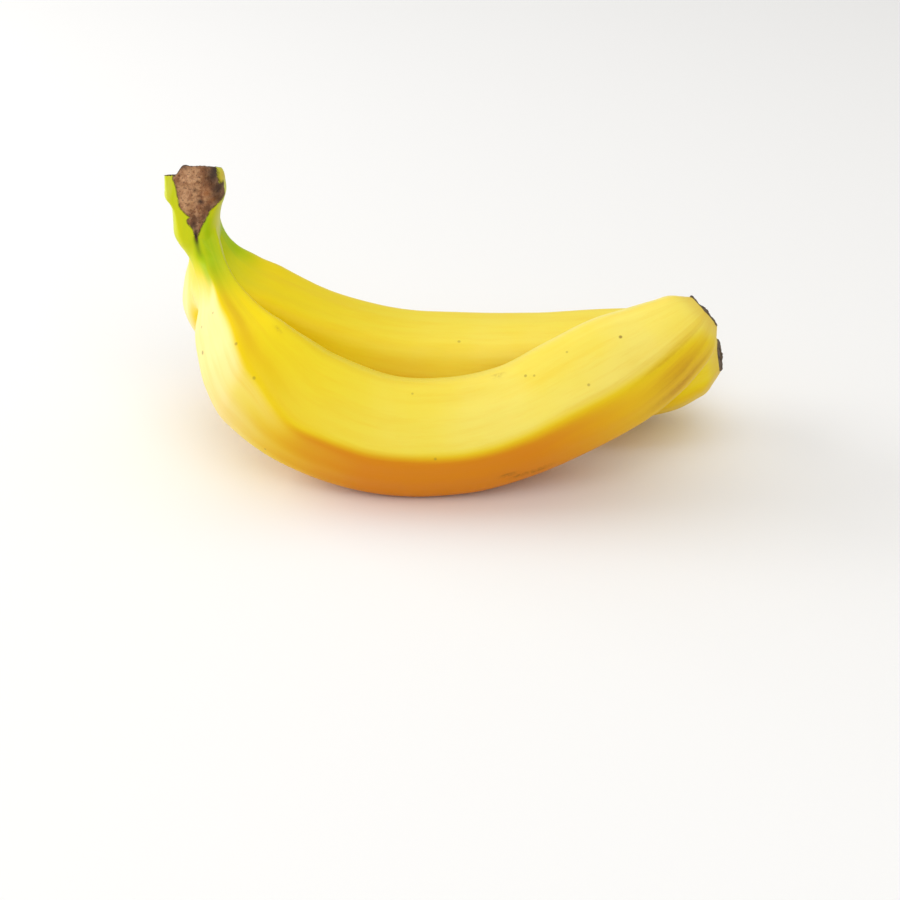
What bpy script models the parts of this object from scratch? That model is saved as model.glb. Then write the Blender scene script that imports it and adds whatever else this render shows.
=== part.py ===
"""Cavendish banana pair: two fingers and the piece of crown that joins them, grown as one solid.

Metres, +Z up. X runs from the crown towards the blossom ends, and Y from the front finger to the back one.
The pair lies on the outer curves of both fingers. Its origin is on the surface that it lies on, under the
middle of its box.
"""

import math

import bmesh
import bpy
from mathutils import Vector

MM = 0.001

# Fingers: x, y and z of the middle of the flesh, and its half thickness, in mm, from the crown to the blossom end.
FRONT_STATIONS = [
    (-77.5, 50.0, 77.0, 5.6),
    (-77.4, 47.0, 67.5, 5.8),
    (-75.6, 43.5, 61.9, 5.3),
    (-73.4, 39.5, 56.5, 5.1),
    (-70.5, 35.0, 50.6, 6.3),
    (-67.9, 29.0, 43.9, 10.5),
    (-64.6, 23.5, 40.0, 13.2),
    (-61.2, 19.0, 36.6, 15.6),
    (-55.8, 14.5, 31.5, 17.7),
    (-42.0, 9.0, 23.9, 18.5),
    (-20.0, 4.8, 17.6, 18.1),
    (2.0, 4.0, 17.8, 17.8),
    (20.0, 5.0, 22.3, 17.3),
    (36.0, 7.0, 29.9, 17.6),
    (50.0, 10.0, 36.7, 17.3),
    (61.0, 12.0, 42.4, 14.9),
    (67.6, 13.0, 46.9, 12.6),
    (71.9, 14.2, 50.1, 10.5),
    (75.5, 15.4, 53.1, 5.9),
]
BACK_STATIONS = [
    (-78.0, 55.0, 77.0, 5.6),
    (-77.6, 55.0, 67.0, 5.4),
    (-76.6, 55.0, 60.5, 5.6),
    (-75.0, 55.0, 54.6, 7.4),
    (-74.0, 54.5, 48.4, 11.5),
    (-72.5, 54.0, 42.4, 15.0),
    (-67.6, 53.5, 36.2, 17.3),
    (-59.0, 52.5, 30.0, 18.1),
    (-43.0, 50.0, 23.2, 18.2),
    (-20.0, 46.0, 18.7, 18.1),
    (4.0, 43.8, 18.0, 18.0),
    (27.0, 43.5, 18.2, 17.9),
    (47.0, 44.0, 19.3, 17.8),
    (60.0, 44.0, 20.1, 17.5),
    (70.0, 44.0, 21.5, 16.4),
    (77.0, 43.7, 22.9, 14.0),
    (81.8, 43.3, 23.3, 10.8),
    (85.5, 42.7, 24.0, 5.0),
]
STATION_STEPS = 24

# Each finger has five blunt ridges. The first one wanders along the skin: its place is an angle in degrees, from
# one side of the finger round towards its outer curve, at shares of the finger's length. The others keep the turn
# that goes with it, and the skin beside the first ridge follows it less and less.
RIDGES = 5
SIDE_TILT = math.radians(30.0)
FINGER_SIDE = Vector((0.0, -math.cos(SIDE_TILT), math.sin(SIDE_TILT)))
FRONT_TURN = 18.0
FRONT_RIDGE = [(0.0, 10), (0.12, 8), (0.22, -6), (0.3, 1), (0.4, 20), (0.5, 24), (0.8, 18), (1.0, 7)]
BACK_TURN = -20.0
BACK_RIDGE = [(0.0, -20), (0.6, -20), (1.0, -14)]
WANDER_POWER = 5

# Ridge height as a share of the half thickness, on the body and at the neck, and the wave that sharpens it.
BODY_RIDGE = 0.042
NECK_RIDGE = 0.09
NECK_SHARES = (0.15, 0.45)
SHARPENING = 0.25

# Rings of skin: they crowd towards both ends, and each lies square to the spine over this many rings each way.
FINGER_RINGS = 50
FINGER_SIDES = 30
END_CROWDING = 0.085
BEND_REACH = 4

# The withered blossom end is a low plug: how far it stands out, and its share of the end's half thickness.
PLUG_RINGS = [(0.3, 0.9), (1.0, 0.84), (1.4, 0.6)]

# Crown, from between the necks to above its cut: height, middle x and y, half width along x and along y, in mm.
CROWN_RINGS = [
    (52.0, -75.4, 47.5, 1.6, 4.0),
    (56.0, -76.0, 48.0, 2.6, 6.6),
    (59.0, -77.3, 48.6, 4.5, 8.4),
    (62.0, -78.0, 49.2, 5.9, 9.6),
    (65.0, -78.4, 49.6, 6.9, 10.4),
    (69.0, -78.3, 50.2, 7.1, 10.8),
    (73.5, -78.4, 50.8, 8.5, 11.0),
    (78.0, -78.1, 51.3, 9.4, 10.8),
    (81.5, -78.5, 51.6, 8.9, 10.4),
    (84.5, -79.5, 51.8, 7.8, 9.8),
    (90.0, -81.0, 52.0, 6.0, 8.6),
]
CROWN_SIDES = 28
CROWN_SQUARENESS = 2.6

# Each trim is a box that takes off what is beyond a plane: the middle of its face, in mm, and the way it faces.
KNIFE_FACING = Vector((0.03, 0.39, 0.92))
TRIMS = {
    "knife cut": (Vector((-77.0, 52.0, 84.5)), KNIFE_FACING),
    "step in the knife cut": (Vector((-97.9, 52.0, 81.7)), KNIFE_FACING),
    "torn scar": (Vector((-77.0, 42.4, 75.5)), Vector((-0.12, -0.95, 0.29))),
}
TRIM_SIZE = 30.0
GROUND_SIZE = 260.0


def clear_scene():
    for old in list(bpy.data.objects):
        bpy.data.objects.remove(old)


def spline_rows(stations):
    """Rows read finely from a smooth curve through the stations, and the length along it at each row."""
    knots = [0.0]
    for a, b in zip(stations, stations[1:]):
        knots.append(knots[-1] + (Vector(b[:3]) - Vector(a[:3])).length)
    last = len(stations) - 1
    slopes = []
    for i in range(last + 1):
        low = max(i - 1, 0)
        high = min(i + 1, last)
        slopes.append([(b - a) / (knots[high] - knots[low]) for a, b in zip(stations[low], stations[high])])
    rows = []
    for i in range(last):
        span = knots[i + 1] - knots[i]
        for k in range(STATION_STEPS):
            f = k / STATION_STEPS
            start = 2 * f ** 3 - 3 * f ** 2 + 1
            leave = (f ** 3 - 2 * f ** 2 + f) * span
            arrive = (f ** 3 - f ** 2) * span
            rows.append([
                start * p + leave * m + (1 - start) * q + arrive * n
                for p, m, q, n in zip(stations[i], slopes[i], stations[i + 1], slopes[i + 1])
            ])
    rows.append(list(stations[-1]))
    lengths = [0.0]
    for a, b in zip(rows, rows[1:]):
        lengths.append(lengths[-1] + (Vector(b[:3]) - Vector(a[:3])).length)
    return rows, lengths


def row_at(rows, lengths, share):
    """The row at a share of the whole length."""
    place = share * lengths[-1]
    k = 0
    while k < len(rows) - 2 and lengths[k + 1] < place:
        k += 1
    f = (place - lengths[k]) / (lengths[k + 1] - lengths[k])
    return [a + (b - a) * f for a, b in zip(rows[k], rows[k + 1])]


def smooth_step(low, high, x):
    f = min(max((x - low) / (high - low), 0.0), 1.0)
    return f * f * (3 - 2 * f)


def ridge_turn(ridge, share):
    """The first ridge's angle at a share of the length, in radians."""
    k = 0
    while k < len(ridge) - 2 and ridge[k + 1][0] < share:
        k += 1
    (low, a), (high, b) = ridge[k], ridge[k + 1]
    return math.radians(a + (b - a) * smooth_step(low, high, share))


def skin_ring(shell, centre, along, radius, share, turn, ridge):
    """One ring of skin, with a corner of its outline on every ridge."""
    side = (FINGER_SIDE - along * FINGER_SIDE.dot(along)).normalized()
    outer = along.cross(side)
    rest = math.radians(turn)
    wander = ridge_turn(ridge, share) - rest
    height = BODY_RIDGE + (NECK_RIDGE - BODY_RIDGE) * (1 - smooth_step(*NECK_SHARES, share))
    ring = []
    for k in range(FINGER_SIDES):
        angle = 2 * math.pi * k / FINGER_SIDES
        wave = math.cos(RIDGES * angle) + SHARPENING * (math.cos(2 * RIDGES * angle) - 1)
        place = angle + rest + wander * ((1 + math.cos(angle)) / 2) ** WANDER_POWER
        way = side * math.cos(place) + outer * math.sin(place)
        ring.append(shell.verts.new(centre + way * radius * (1 + height * wave)))
    return ring


def close_rings(shell, rings, name):
    """An object whose skin runs over the rings, with a face across each end."""
    for ring, following in zip(rings, rings[1:]):
        for k in range(len(ring)):
            j = (k + 1) % len(ring)
            shell.faces.new((ring[k], ring[j], following[j], following[k]))
    shell.faces.new(rings[0])
    shell.faces.new(rings[-1])
    bmesh.ops.recalc_face_normals(shell, faces=shell.faces)
    mesh = bpy.data.meshes.new(name)
    shell.to_mesh(mesh)
    shell.free()
    mesh.shade_smooth()
    mesh.set_sharp_from_angle(angle=math.radians(50.0))
    return bpy.data.objects.new(name, mesh)


def finger(name, stations, turn, ridge):
    """One banana: a loft of five-sided rings along its spine, with a low plug at the blossom end."""
    rows, lengths = spline_rows(stations)
    shares = []
    for n in range(FINGER_RINGS):
        even = n / (FINGER_RINGS - 1)
        shares.append(even - END_CROWDING * math.sin(2 * math.pi * even))
    places = [row_at(rows, lengths, share) for share in shares]
    centres = [Vector(place[:3]) * MM for place in places]
    shell = bmesh.new()
    rings = []
    for n, (share, place) in enumerate(zip(shares, places)):
        reach = min(BEND_REACH, n + 1, FINGER_RINGS - n)
        along = (centres[min(n + reach, FINGER_RINGS - 1)] - centres[max(n - reach, 0)]).normalized()
        rings.append(skin_ring(shell, centres[n], along, place[3] * MM, share, turn, ridge))
    end_radius = places[-1][3] * MM
    for distance, shrink in PLUG_RINGS:
        centre = centres[-1] + along * distance * MM
        rings.append(skin_ring(shell, centre, along, end_radius * shrink, 1.0, turn, ridge))
    return close_rings(shell, rings, name)


def crown_block(name):
    """The crown before it is trimmed: a loft of rounded oblongs that swells from between the necks."""
    shell = bmesh.new()
    rings = []
    for z, x, y, half_x, half_y in CROWN_RINGS:
        ring = []
        for k in range(CROWN_SIDES):
            angle = 2 * math.pi * k / CROWN_SIDES
            c = math.cos(angle)
            s = math.sin(angle)
            reach = (abs(c) ** CROWN_SQUARENESS + abs(s) ** CROWN_SQUARENESS) ** (-1 / CROWN_SQUARENESS)
            ring.append(shell.verts.new(Vector((x + half_x * c * reach, y + half_y * s * reach, z)) * MM))
        rings.append(ring)
    return close_rings(shell, rings, name)


def trim_box(name, face_middle, facing, size):
    """A box with the middle of one face at a point, standing on the side that the face looks to."""
    shell = bmesh.new()
    bmesh.ops.create_cube(shell, size=size * MM)
    mesh = bpy.data.meshes.new(name)
    shell.to_mesh(mesh)
    shell.free()
    box = bpy.data.objects.new(name, mesh)
    facing = facing.normalized()
    box.rotation_mode = "QUATERNION"
    box.rotation_quaternion = facing.to_track_quat("Z", "X")
    box.location = (face_middle + facing * size / 2) * MM
    return box


def boolean(target, other, operation):
    modifier = target.modifiers.new(other.name, "BOOLEAN")
    modifier.operation = operation
    modifier.solver = "EXACT"
    modifier.object = other


def skin_material():
    material = bpy.data.materials.new("banana skin")
    material.use_nodes = True
    principled = material.node_tree.nodes["Principled BSDF"]
    principled.inputs["Base Color"].default_value = (0.85, 0.65, 0.06, 1.0)
    principled.inputs["Roughness"].default_value = 0.45
    principled.inputs["Metallic"].default_value = 0.0
    return material


def stand_over_origin(root, pair):
    """Moves everything under the root so that the pair's box is centred over the origin."""
    bpy.context.view_layer.update()
    shape = pair.evaluated_get(bpy.context.evaluated_depsgraph_get())
    mesh = shape.to_mesh()
    xs = [v.co.x for v in mesh.vertices]
    ys = [v.co.y for v in mesh.vertices]
    root.location = (-(min(xs) + max(xs)) / 2, -(min(ys) + max(ys)) / 2, 0.0)
    shape.to_mesh_clear()


def main():
    clear_scene()
    parts = bpy.data.collections.new("cavendish banana pair")
    guides = bpy.data.collections.new("joined shapes and trims")
    bpy.context.scene.collection.children.link(parts)
    bpy.context.scene.collection.children.link(guides)
    root = bpy.data.objects.new("stand", None)
    parts.objects.link(root)

    pair = finger("banana_pair", FRONT_STATIONS, FRONT_TURN, FRONT_RIDGE)
    pair.data.materials.append(skin_material())
    parts.objects.link(pair)
    joined = [finger("back finger", BACK_STATIONS, BACK_TURN, BACK_RIDGE), crown_block("crown")]
    trims = [trim_box(name, middle, facing, TRIM_SIZE) for name, (middle, facing) in TRIMS.items()]
    trims.append(trim_box("ground", Vector((0.0, 30.0, 0.0)), Vector((0.0, 0.0, -1.0)), GROUND_SIZE))
    for other in joined:
        boolean(pair, other, "UNION")
    for other in trims:
        boolean(pair, other, "DIFFERENCE")
    for other in joined + trims:
        guides.objects.link(other)
        other.hide_render = True
        other.display_type = "WIRE"
    for placed in [pair] + joined + trims:
        placed.parent = root
    stand_over_origin(root, pair)


main()
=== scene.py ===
import math
from functools import partial

import bmesh
import bpy
import numpy as np
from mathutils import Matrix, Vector, kdtree, noise


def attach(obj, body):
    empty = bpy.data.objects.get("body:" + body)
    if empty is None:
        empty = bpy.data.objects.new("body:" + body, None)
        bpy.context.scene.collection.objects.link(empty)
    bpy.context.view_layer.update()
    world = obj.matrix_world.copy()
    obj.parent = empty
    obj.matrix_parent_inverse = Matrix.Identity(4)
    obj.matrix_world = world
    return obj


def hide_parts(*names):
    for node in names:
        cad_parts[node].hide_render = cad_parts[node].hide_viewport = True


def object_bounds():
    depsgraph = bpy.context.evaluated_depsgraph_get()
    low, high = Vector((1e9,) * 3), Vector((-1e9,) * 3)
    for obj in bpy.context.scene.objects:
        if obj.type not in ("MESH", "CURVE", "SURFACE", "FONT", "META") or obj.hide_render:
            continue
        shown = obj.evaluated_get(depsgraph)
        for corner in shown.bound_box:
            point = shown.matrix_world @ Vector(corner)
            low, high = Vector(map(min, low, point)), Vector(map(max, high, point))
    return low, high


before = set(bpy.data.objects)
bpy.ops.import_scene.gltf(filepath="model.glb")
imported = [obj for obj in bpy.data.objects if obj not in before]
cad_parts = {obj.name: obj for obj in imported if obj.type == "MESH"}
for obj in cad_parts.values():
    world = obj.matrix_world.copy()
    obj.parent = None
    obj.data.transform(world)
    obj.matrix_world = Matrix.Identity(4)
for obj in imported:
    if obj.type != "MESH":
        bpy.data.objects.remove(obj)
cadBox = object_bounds()
print("frame loaded")

mm = 0.001
standPlace = np.array([-0.048, -28.829, 0.0]) * mm      # where the drawing's own origin lies in the frame

# Both fingers are drawn in millimetres from the drawing's own origin, and moved to the frame's at the end.
# A station is x, y and z of the middle of the flesh and its half thickness, from crown to blossom end.
# The ridges keep to a turn in degrees, and the first of the five wanders, at shares of the finger's length.
frontFinger = {
    "name": "frontFinger",
    "stations": [
        (-77.5, 50, 77, 5.6), (-77.4, 47, 67.5, 5.8), (-75.6, 43.5, 61.9, 5.3),
        (-73.4, 39.5, 56.5, 5.1), (-70.5, 35, 50.6, 6.3), (-67.9, 29, 43.9, 10.5),
        (-64.6, 23.5, 40, 13.2), (-61.2, 19, 36.6, 15.6), (-55.8, 14.5, 31.5, 17.7),
        (-42, 9, 23.9, 18.5), (-20, 4.8, 17.6, 18.1), (2, 4, 17.8, 17.8), (20, 5, 22.3, 17.3),
        (36, 7, 29.9, 17.6), (50, 10, 36.7, 17.3), (61, 12, 42.4, 14.9),
        (67.6, 13, 46.9, 12.6), (71.9, 14.2, 50.1, 10.5), (75.5, 15.4, 53.1, 5.9),
    ],
    "turn": 18.0,
    "ridge": [(0.0, 10), (0.12, 8), (0.22, -6), (0.3, 1), (0.4, 20), (0.5, 24), (0.8, 18), (1.0, 7)],
    "seed": 3.0, "crispness": 1.0,
}
backFinger = {
    "name": "backFinger",
    "stations": [
        (-78, 55, 77, 5.6), (-77.6, 55, 67, 5.4), (-76.6, 55, 60.5, 5.6),
        (-75, 55, 54.6, 7.4), (-74, 54.5, 48.4, 11.5), (-72.5, 54, 42.4, 15),
        (-67.6, 53.5, 36.2, 17.3), (-59, 52.5, 30, 18.1), (-43, 50, 23.2, 18.2),
        (-20, 46, 18.7, 18.1), (4, 43.8, 18, 18), (27, 43.5, 18.2, 17.9),
        (47, 44, 19.3, 17.8), (60, 44, 20.1, 17.5), (70, 44, 21.5, 16.4),
        (77, 43.7, 22.9, 14), (81.8, 43.3, 23.3, 10.8), (85.5, 42.7, 24, 5),
    ],
    "turn": -20.0,
    "ridge": [(0.0, -20), (0.6, -20), (1.0, -14)],
    "seed": 11.0, "crispness": 0.4,
}
fingerSkin = {
    "rings": 230, "sides": 110, "ridges": 5, "sharpening": 0.25,
    "bodyRidge": 0.042, "neckRidge": 0.09, "neckShares": (0.1, 0.36), "endCrowding": 0.085,
    "bendReach": 4 / 49, "spineSteps": 24, "spinePoints": 600, "patternRadius": 16.0, "wanderPower": 5.0,
    # broad swellings, and long flutes, 22 in 100 mm; both are less where the flesh isn't at full thickness
    "unevenness": 0.3, "unevenSize": 24.0, "fluting": 0.07, "fluteSize": 100 / 22, "fluteStretch": 0.06,
    "fullThickness": 12.0,
    "crispHeight": 0.035, "crispWidth": 11.0, "crispShares": (0.02, 0.08, 0.36, 0.5),
}
sideTilt = math.radians(30.0)
fingerSide = (0.0, -math.cos(sideTilt), math.sin(sideTilt))     # where the angles round a finger start


# Small helpers

def hexColour(code):
    channels = [int(code[k:k + 2], 16) / 255 for k in (1, 3, 5)]
    return tuple(c / 12.92 if c <= 0.04045 else ((c + 0.055) / 1.055) ** 2.4 for c in channels) + (1.0,)


def fillInputs(tree, node, inputs):
    # joins each input to an output, or gives it a value
    for socket, value in inputs.items():
        if isinstance(value, bpy.types.NodeSocket):
            tree.links.new(value, node.inputs[socket])
        else:
            node.inputs[socket].default_value = value


def addNode(tree, kind, inputs=(), out=0, **settings):
    # adds a node, sets it, fills its inputs, and gives back one of its outputs
    node = tree.nodes.new(kind)
    for name, value in settings.items():
        setattr(node, name, value)
    fillInputs(tree, node, inputs if isinstance(inputs, dict) else dict(enumerate(inputs)))
    return node.outputs[out] if out is not None else node


# settings of nodes that are used often
times, minus, over = ({"operation": name} for name in ("MULTIPLY", "SUBTRACT", "DIVIDE"))
soft = {"interpolation_type": "SMOOTHSTEP"}


def smoothStep(low, high, x):
    f = np.clip((x - low) / (high - low), 0.0, 1.0)
    return f * f * (3 - 2 * f)


def linkNew(name, mesh):
    made = bpy.data.objects.new(name, mesh)
    bpy.context.scene.collection.objects.link(made)
    return made


def meshPoints(mesh):
    points = np.zeros(len(mesh.vertices) * 3)
    mesh.vertices.foreach_get("co", points)
    return points.reshape(-1, 3)


def meshNormals(mesh):
    normals = np.zeros(len(mesh.vertices) * 3, np.float32)
    mesh.vertex_normals.foreach_get("vector", normals)
    return normals.reshape(-1, 3).astype(float)


def setPoints(mesh, points):
    mesh.vertices.foreach_set("co", np.asarray(points, np.float32).ravel())
    mesh.update()


def setAttributes(mesh, named):
    for name, values in named.items():
        values = np.asarray(values, np.float32)
        kind, field = ("FLOAT", "value") if values.ndim == 1 else ("FLOAT_VECTOR", "vector")
        there = mesh.attributes.get(name) or mesh.attributes.new(name, kind, "POINT")
        there.data.foreach_set(field, values.ravel())


def getAttribute(mesh, name, width=1):
    values = np.zeros(len(mesh.vertices) * width, np.float32)
    mesh.attributes[name].data.foreach_get("value" if width == 1 else "vector", values)
    return values if width == 1 else values.reshape(-1, width)


def closeShell(mesh):
    # one closed skin with its faces pointing out
    shell = bmesh.new()
    shell.from_mesh(mesh)
    bmesh.ops.recalc_face_normals(shell, faces=shell.faces)
    shell.to_mesh(mesh)
    shell.free()
    mesh.shade_smooth()


def ringShell(name, points, sides, material):
    # a closed skin over rings of points; the last two points are the middles of its ends
    middle = len(points) - 2
    pairs = [(k, (k + 1) % sides) for k in range(sides)]
    last = middle - sides
    faces = [(n + k, n + j, n + sides + j, n + sides + k) for n in range(0, last, sides) for k, j in pairs]
    for k, j in pairs:
        faces += [(k, middle, j), (last + k, last + j, middle + 1)]
    mesh = bpy.data.meshes.new(name)
    mesh.from_pydata([tuple(p) for p in points], [], faces)
    mesh.materials.append(material)
    closeShell(mesh)
    return mesh


# Spines

def smoothRows(stations, steps):
    # rows read finely from a smooth curve through the stations, and the length along it at each row
    stations = np.array(stations)
    knots = np.concatenate([[0.0], np.cumsum(np.linalg.norm(np.diff(stations[:, :3], axis=0), axis=1))])
    last = len(stations) - 1
    low = np.maximum(np.arange(last + 1) - 1, 0)
    high = np.minimum(np.arange(last + 1) + 1, last)
    slopes = (stations[high] - stations[low]) / (knots[high] - knots[low])[:, None]
    rows = []
    for i in range(last):
        f = (np.arange(steps) / steps)[:, None]
        span = knots[i + 1] - knots[i]
        start = 2 * f ** 3 - 3 * f ** 2 + 1
        leave = (f ** 3 - 2 * f ** 2 + f) * span
        arrive = (f ** 3 - f ** 2) * span
        near, far = stations[i], stations[i + 1]
        rows.append(start * near + leave * slopes[i] + (1 - start) * far + arrive * slopes[i + 1])
    rows = np.vstack(rows + [stations[-1:]])
    lengths = np.concatenate([[0.0], np.cumsum(np.linalg.norm(np.diff(rows[:, :3], axis=0), axis=1))])
    return rows, lengths


def rowsAt(rows, lengths, shares):
    return np.stack([np.interp(shares * lengths[-1], lengths, column) for column in rows.T], axis=1)


def crowdedShare(even):
    return even - fingerSkin["endCrowding"] * np.sin(2 * math.pi * even)


def spineOf(finger):
    # the line that the finger's skin follows, with what it needs to know at each point
    rows, lengths = smoothRows(finger["stations"], fingerSkin["spineSteps"])
    shares = np.linspace(0.0, 1.0, fingerSkin["spinePoints"])
    places = rowsAt(rows, lengths, shares)
    fine = np.linspace(0.0, 1.0, 4001)
    evens = np.interp(shares, crowdedShare(fine), fine)
    bend = fingerSkin["bendReach"]
    reach = np.minimum(bend, np.minimum(evens, 1 - evens) + bend / 4)
    ahead = rowsAt(rows, lengths, crowdedShare(np.minimum(evens + reach, 1.0)))[:, :3]
    behind = rowsAt(rows, lengths, crowdedShare(np.maximum(evens - reach, 0.0)))[:, :3]
    along = (ahead - behind) / np.linalg.norm(ahead - behind, axis=1)[:, None]
    angles = np.zeros(len(shares))
    for (low, a), (high, b) in zip(finger["ridge"], finger["ridge"][1:]):
        within = (shares >= low) & (shares <= high)
        angles[within] = a + (b - a) * smoothStep(low, high, shares[within])
    body = smoothStep(*fingerSkin["neckShares"], shares)
    ridgeHeights = fingerSkin["neckRidge"] + (fingerSkin["bodyRidge"] - fingerSkin["neckRidge"]) * body
    starts, full, fades, ends = fingerSkin["crispShares"]
    crisp = smoothStep(starts, full, shares) * (1 - smoothStep(fades, ends, shares)) * finger["crispness"]
    mesh = bpy.data.meshes.new(finger["name"] + "Spine")
    points = places[:, :3] * mm
    mesh.from_pydata([tuple(p) for p in points], [(k, k + 1) for k in range(len(points) - 1)], [])
    setAttributes(mesh, {
        "halfThickness": places[:, 3] * mm, "wander": np.radians(angles - finger["turn"]),
        "crispness": crisp * fingerSkin["crispHeight"], "ridgeHeight": ridgeHeights, "along": along,
    })
    finger["length"] = float(lengths[-1])
    finger["end"] = {"centre": places[-1, :3], "along": along[-1], "turn": math.radians(angles[-1]),
                     "radius": float(places[-1, 3])}
    return linkNew(finger["name"], mesh)


# Geometry Nodes: a finger's skin swept along its spine

def buildFingerTree(values):
    tree = bpy.data.node_groups.new("fingerSkinAlongSpine", "GeometryNodeTree")
    tree.interface.new_socket("Spine", in_out="INPUT", socket_type="NodeSocketGeometry")
    kinds = {int: "Int", float: "Float", tuple: "Vector"}
    for name, value in values.items():
        kind = "NodeSocket" + kinds.get(type(value), "Material")
        tree.interface.new_socket(name, in_out="INPUT", socket_type=kind)
    tree.interface.new_socket("Skin", in_out="OUTPUT", socket_type="NodeSocketGeometry")
    given = {s.name: s for s in tree.nodes.new("NodeGroupInput").outputs}
    node = partial(addNode, tree)
    sums, arrows, noises = "ShaderNodeMath", "ShaderNodeVectorMath", "ShaderNodeTexNoise"

    # rows run along the finger and columns run round it; the first and last row close the skin
    columns = node(sums, (given["Sides"], 1.0))
    grid = node("GeometryNodeMeshGrid", (1.0, 1.0, given["Rings"], columns))
    index = node(sums, (node("GeometryNodeInputIndex"), 0.5))
    row = node(sums, (node(sums, (index, columns), **over),), operation="FLOOR")
    column = node(sums, (index, node(sums, (row, columns), **times)), **minus)
    column = node(sums, (column,), operation="FLOOR")
    lastRow = node(sums, (given["Rings"], 1.0), **minus)
    firstOpen = node(sums, (row, 1.0), **minus)
    openRows = node(sums, (lastRow, 2.0), **minus)
    even = node(sums, (firstOpen, openRows), **over, use_clamp=True)
    sine = node(sums, (node(sums, (even, 2 * math.pi), **times),), operation="SINE")
    crowding = node(sums, (given["End Crowding"], sine), **times)
    share = node(sums, (even, crowding), **minus)
    afterFirst = node(sums, (row, 0.5), operation="GREATER_THAN")
    beforeLast = node(sums, (row, node(sums, (lastRow, 0.5), **minus)), operation="LESS_THAN")
    opened = node(sums, (afterFirst, beforeLast), **times)
    around = node(sums, (column, 2 * math.pi), **times)
    angle = node(sums, (around, given["Sides"]), **over)

    # what the spine says at this share of its length
    spine = node("GeometryNodeMeshToCurve", {"Mesh": given["Spine"]})
    told = {}
    for name, kind in (("halfThickness", "FLOAT"), ("wander", "FLOAT"), ("ridgeHeight", "FLOAT"),
                       ("crispness", "FLOAT"), ("along", "FLOAT_VECTOR")):
        field = node("GeometryNodeInputNamedAttribute", {"Name": name}, data_type=kind)
        sample = node("GeometryNodeSampleCurve", {"Curves": spine, "Value": field, "Factor": share}, out=None,
                      data_type=kind, mode="FACTOR", use_all_curves=True)
        told[name] = sample.outputs["Value"]
        centre = sample.outputs["Position"]

    # the ring's own directions, square to the spine
    drop = node(arrows, (given["Side"], told["along"]), out="Value", operation="DOT_PRODUCT")
    leaning = node(arrows, {0: told["along"], "Scale": drop}, operation="SCALE")
    side = node(arrows, (given["Side"], leaning), **minus)
    side = node(arrows, (side,), operation="NORMALIZE")
    outer = node(arrows, (told["along"], side), operation="CROSS_PRODUCT")
    cosine = node(sums, (angle,), operation="COSINE")
    follows = node(sums, (node(sums, (cosine, 1.0)), 0.5), **times)
    follows = node(sums, (follows, given["Wander Power"]), operation="POWER")
    turned = node(sums, (angle, given["Turn"]))
    wander = node(sums, (told["wander"], follows), **times)
    turned = node(sums, (turned, wander))
    sideways = node(arrows, {0: side, "Scale": node(sums, (turned,), operation="COSINE")}, operation="SCALE")
    outwards = node(arrows, {0: outer, "Scale": node(sums, (turned,), operation="SINE")}, operation="SCALE")
    way = node(arrows, (sideways, outwards))

    # blunt ridges, with the crest of each a little sharper than the hollow
    ridges = node(sums, (given["Ridges"], angle), **times)
    crest = node(sums, (ridges,), operation="COSINE")
    twice = node(sums, (node(sums, (ridges, 2.0), **times),), operation="COSINE")
    sharper = node(sums, (twice, 1.0), **minus)
    sharper = node(sums, (sharper, given["Sharpening"]), **times)
    wave = node(sums, (crest, sharper))
    wave = node(sums, (wave, told["ridgeHeight"]), **times)
    narrow = node(sums, (given["Crisp Width"],) * 2, **times)
    narrow = node(sums, (narrow, 0.5), **times)
    edge = node(sums, (node(sums, (cosine, 1.0), **minus), narrow), **over)
    edge = node(sums, (node(sums, (edge,), operation="EXPONENT"), told["crispness"]), **times)
    wave = node(sums, (node(sums, (wave, edge)), 1.0))
    radius = node(sums, (told["halfThickness"], wave), **times)

    # a straightened finger, which the skin's pattern follows
    sine = node(sums, (angle,), operation="SINE")
    pattern = node("ShaderNodeCombineXYZ", (
        node(sums, (share, given["Finger Length"]), **times),
        node(sums, (cosine, given["Pattern Radius"]), **times),
        node(sums, (sine, given["Pattern Radius"]), **times),
    ))

    # grown unevenness: broad swellings all over, and fine flutes along the skin
    lengthways = node("ShaderNodeCombineXYZ", (given["Flute Stretch"], 1.0, 1.0))
    stretched = node(arrows, (pattern, lengthways), **times)
    rises = []
    for place, size, height in ((pattern, "Uneven Size", "Unevenness"), (stretched, "Flute Size", "Fluting")):
        perSize = node(sums, (1.0, given[size]), **over)
        rise = node(noises, {"Vector": place, "W": given["Seed"], "Scale": perSize}, noise_dimensions="4D")
        rise = node(sums, (rise, 0.5), **minus)
        rises.append(node(sums, (rise, given[height]), **times))
    rise = node(sums, rises)
    thickness = node(sums, (told["halfThickness"], given["Full Thickness"]), **over, use_clamp=True)
    radius = node(sums, (radius, node(sums, (rise, thickness), **times)))

    reach = node(sums, (radius, opened), **times)
    place = node(arrows, (centre, node(arrows, {0: way, "Scale": reach}, operation="SCALE")))
    skin = node("GeometryNodeSetPosition", {"Geometry": grid, "Position": place})
    for name, kind, value in (("share", "FLOAT", share), ("ridgeCrest", "FLOAT", crest),
                              ("skinPlace", "FLOAT_VECTOR", pattern)):
        skin = node("GeometryNodeStoreNamedAttribute", {"Geometry": skin, "Name": name, "Value": value},
                    data_type=kind, domain="POINT")
    skin = node("GeometryNodeMergeByDistance", {"Geometry": skin, "Distance": 0.001 * mm})
    skin = node("GeometryNodeRealizeInstances", {"Geometry": skin})
    skin = node("GeometryNodeSetMaterial", {"Geometry": skin, "Material": given["Skin Material"]})
    node("NodeGroupOutput", (skin,), out=None)
    return tree


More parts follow.
